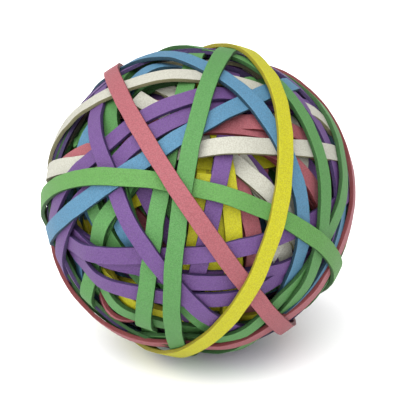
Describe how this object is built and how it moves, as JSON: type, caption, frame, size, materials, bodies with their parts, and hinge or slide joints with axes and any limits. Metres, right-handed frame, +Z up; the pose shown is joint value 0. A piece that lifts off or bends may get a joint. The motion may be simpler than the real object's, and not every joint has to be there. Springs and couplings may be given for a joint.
{
  "type": "rubber band ball",
  "caption": "Round ball of stretched flat rubber bands in mixed colours, wound one over another on a tight inner core.",
  "frame": {"origin": "middle of the ball", "axes": "+Z up; the face that the picture shows looks along -Y, leaning back 22 degrees"},
  "size_m": [0.0598, 0.0598, 0.0597],
  "materials": {
    "yellow_rubber": "matte, lemon yellow",
    "pink_rubber": "matte, salmon pink",
    "green_rubber": "matte, leaf green",
    "light_green_rubber": "matte, light green",
    "purple_rubber": "matte, violet",
    "blue_rubber": "matte, sky blue",
    "cream_rubber": "matte, off-white",
    "core_rubber": "matte, mixed colours"
  },
  "bodies": {
    "root": {"inner_wound_core": "core_rubber", "blue_band_4": "blue_rubber", "purple_band_9": "purple_rubber", "cream_band_6": "cream_rubber", "green_band_12": "green_rubber", "purple_band_8": "purple_rubber", "green_band_11": "green_rubber", "pink_band_6": "pink_rubber", "blue_band_3": "blue_rubber", "green_band_10": "green_rubber", "cream_band_5": "cream_rubber", "pink_band_5": "pink_rubber", "yellow_band_5": "yellow_rubber", "yellow_band_4": "yellow_rubber", "cream_band_4": "cream_rubber", "cream_band_3": "cream_rubber", "pink_band_4": "pink_rubber", "yellow_band_3": "yellow_rubber", "purple_band_7": "purple_rubber", "green_band_9": "green_rubber", "green_band_8": "green_rubber", "yellow_band_2": "yellow_rubber", "green_band_7": "green_rubber", "pink_band_3": "pink_rubber", "green_band_6": "green_rubber", "green_band_5": "green_rubber", "purple_band_6": "purple_rubber", "purple_band_5": "purple_rubber", "purple_band_4": "purple_rubber", "cream_band_2": "cream_rubber", "green_band_4": "green_rubber", "purple_band_3": "purple_rubber", "purple_band_2": "purple_rubber", "purple_band_1": "purple_rubber", "cream_band_1": "cream_rubber", "blue_band_2": "blue_rubber", "blue_band_1": "blue_rubber", "green_band_3": "green_rubber", "green_band_2": "green_rubber", "pink_band_2": "pink_rubber", "light_green_band": "light_green_rubber", "green_band_1": "green_rubber", "pink_band_1": "pink_rubber", "yellow_band_1": "yellow_rubber"}
  },
  "joints": []
}
